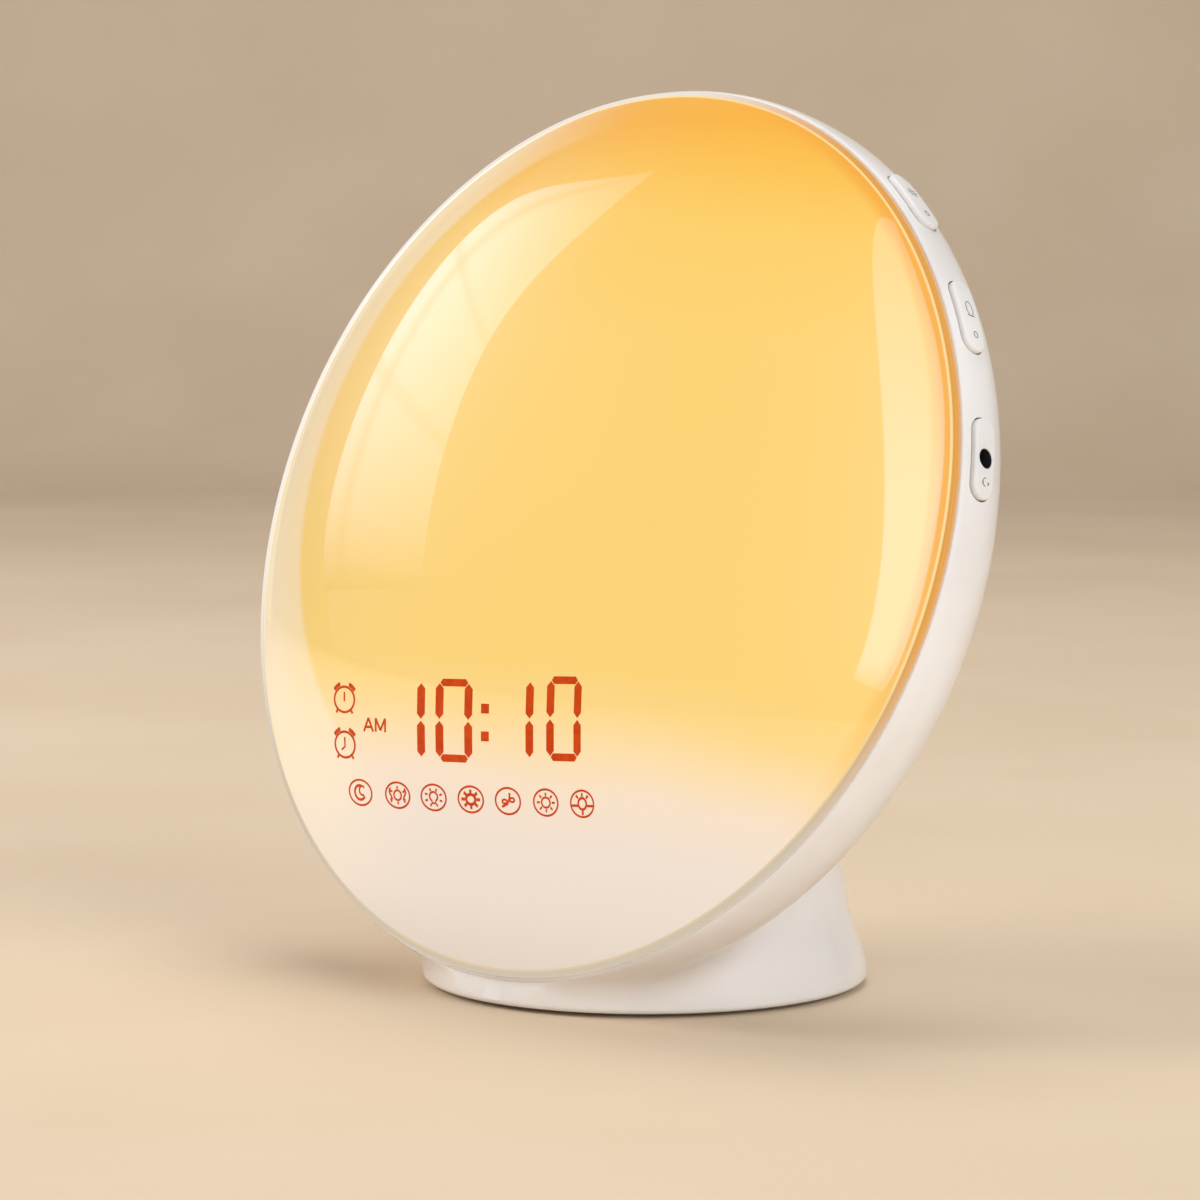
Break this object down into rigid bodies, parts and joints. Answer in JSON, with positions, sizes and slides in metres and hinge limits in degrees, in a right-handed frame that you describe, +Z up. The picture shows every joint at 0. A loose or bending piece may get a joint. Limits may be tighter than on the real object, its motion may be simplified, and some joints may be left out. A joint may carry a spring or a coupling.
{
  "type": "sunrise alarm clock",
  "caption": "Round bedside lamp clock with a domed light cover, rim keys and a leaning disc on a round foot.",
  "frame": {"origin": "on the table under the centre of the round foot", "axes": "+Z up, -Y the way the light cover faces, +X to the right seen from the front"},
  "size_m": [0.1736, 0.0916, 0.1686],
  "materials": {
    "white_shell": "satin white ABS",
    "white_key": "satin white ABS keys",
    "light_cover": "translucent diffusing plastic, lit amber from behind",
    "white_inner": "matt white reflector plastic",
    "circuit_white": "white solder mask",
    "circuit_green": "green solder mask",
    "led": "phosphor lamp body",
    "steel_screw": "zinc plated",
    "black_part": "black moulded part",
    "black_steel": "black painted steel",
    "magnet": "ferrite",
    "paper_cone": "pressed paper cone",
    "wire": "insulated wire",
    "ribbon": "flat cable",
    "rubber": "soft black rubber",
    "steel_cell": "steel cell case",
    "contact": "plated brass"
  },
  "bodies": {
    "clock": {"housing": "white_shell", "light_cover": "light_cover", "reflector_pan": "white_inner", "light_board": "circuit_white", "leds": "led", "light_screws": "steel_screw", "display_board": "circuit_green", "display_light_box": "white_inner", "main_board": "circuit_green", "board_parts": "black_part", "main_screws": "steel_screw", "side_screws": "steel_screw", "right_switch_board": "circuit_green", "left_switch_board": "circuit_green", "right_switches": "black_part", "left_switches": "black_part", "jack_plate": "white_key", "headphone_jack": "black_part", "rear_cover": "white_shell", "cover_screws": "steel_screw", "speaker_frame": "black_steel", "speaker_magnet": "magnet", "speaker_cone": "paper_cone", "speaker_lead": "wire", "right_ribbon": "ribbon", "left_ribbon": "ribbon", "base_plate": "white_shell", "rubber_foot": "rubber", "base_screws": "steel_screw", "coin_cell": "steel_cell", "battery_holder": "black_part", "battery_contacts": "contact", "power_inlet": "black_part", "inlet_centre_pin": "contact", "power_lead": "wire"},
    "key_right_middle": {"key_right_middle": "white_key", "stem_right_middle": "black_part"},
    "key_right_top": {"key_right_top": "white_key", "stem_right_top": "black_part"},
    "key_left_top": {"key_left_top": "white_key", "stem_left_top": "black_part"},
    "key_left_middle": {"key_left_middle": "white_key", "stem_left_middle": "black_part"},
    "key_left_bottom": {"key_left_bottom": "white_key", "stem_left_bottom": "black_part"},
    "battery_cap": {"battery_cap": "white_shell"}
  },
  "joints": [
    {"name": "press_right_middle", "type": "slide", "parent": "clock", "child": "key_right_middle", "axis": [-0.8686, -0.1498, -0.4723], "range_m": [0, 0.0005], "stiffness_N_per_m": 1500},
    {"name": "press_right_top", "type": "slide", "parent": "clock", "child": "key_right_top", "axis": [-0.6691, -0.2247, -0.7084], "range_m": [0, 0.0005], "stiffness_N_per_m": 1500},
    {"name": "press_left_top", "type": "slide", "parent": "clock", "child": "key_left_top", "axis": [0.6691, -0.2247, -0.7084], "range_m": [0, 0.0005], "stiffness_N_per_m": 1500},
    {"name": "press_left_middle", "type": "slide", "parent": "clock", "child": "key_left_middle", "axis": [0.8686, -0.1498, -0.4723], "range_m": [0, 0.0005], "stiffness_N_per_m": 1500},
    {"name": "press_left_bottom", "type": "slide", "parent": "clock", "child": "key_left_bottom", "axis": [0.9803, -0.0598, -0.1884], "range_m": [0, 0.0005], "stiffness_N_per_m": 1500},
    {"name": "battery_cap_turn", "type": "hinge", "parent": "clock", "child": "battery_cap", "pos_m": [0, 0.005, 0], "axis": [0, 0, 1], "range_deg": [0, 60]}
  ]
}
